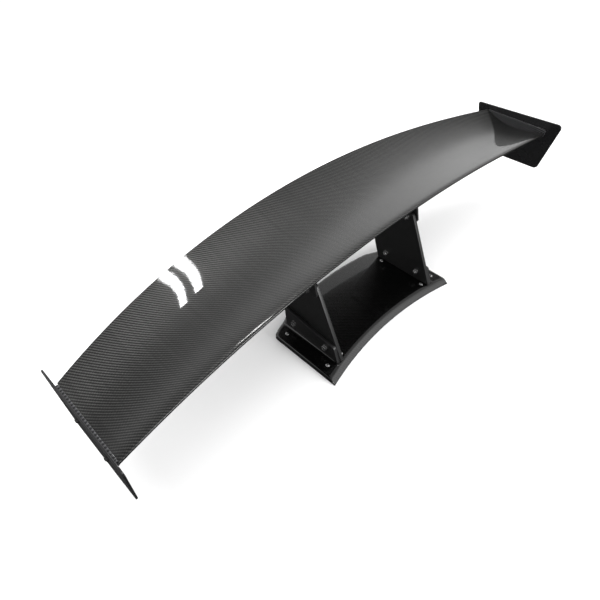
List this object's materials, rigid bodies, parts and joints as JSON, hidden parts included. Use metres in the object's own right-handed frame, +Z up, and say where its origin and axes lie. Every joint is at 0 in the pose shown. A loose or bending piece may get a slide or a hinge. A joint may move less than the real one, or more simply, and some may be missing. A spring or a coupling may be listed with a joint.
{
  "type": "racing rear wing",
  "caption": "Wide cambered carbon rear wing with end plates, on two leaning uprights and a moulded base panel, with an adjustable angle.",
  "frame": {"origin": "centre of the four fixing holes, on the face of the base that meets the car", "axes": "+X along the span to the car's left, -Y towards the car's nose, +Z up"},
  "size_m": [1.5174, 0.39, 0.3121],
  "materials": {
    "carbon_gloss": "twill carbon fibre under clear coat",
    "carbon_base": "dark twill carbon fibre under clear coat",
    "carbon_satin": "satin carbon",
    "carbon_raw": "bare laminate",
    "black_gloss": "gloss black",
    "alloy_black": "satin black coating",
    "alloy_raw": "machined",
    "steel_bright": "zinc-bright",
    "steel_black": "blackened",
    "bronze": "machined bearing bronze"
  },
  "bodies": {
    "root": {"base_panel": "carbon_base", "base_bracket_left": "alloy_black", "base_bracket_right": "alloy_black", "upright_left": "alloy_black", "upright_right": "alloy_black", "base_screws": "steel_bright", "flange_bolts": "steel_bright", "flange_washers": "steel_bright", "flange_nuts": "steel_bright", "pivot_bolts": "steel_bright", "pivot_washers": "steel_bright", "pivot_nuts": "steel_bright", "clamp_bolts": "steel_bright", "clamp_washers": "steel_bright", "clamp_nuts": "steel_bright"},
    "wing": {"upper_skin": "carbon_gloss", "lower_skin": "carbon_gloss", "front_spar": "carbon_raw", "rear_spar": "carbon_raw", "tip_rib_left": "carbon_satin", "tip_rib_right": "carbon_satin", "mount_block_left": "alloy_raw", "mount_block_right": "alloy_raw", "endplate_left": "black_gloss", "endplate_right": "black_gloss", "endplate_screws": "steel_black", "endplate_washers": "steel_black", "wing_bracket_left": "alloy_black", "wing_bracket_right": "alloy_black", "bracket_screws": "steel_bright", "pivot_bushes": "bronze"}
  },
  "joints": [
    {"name": "wing_angle", "type": "hinge", "parent": "root", "child": "wing", "pos_m": [0, 0.024, 0.204], "axis": [1, 0, 0], "range_deg": [-3, 12]}
  ]
}
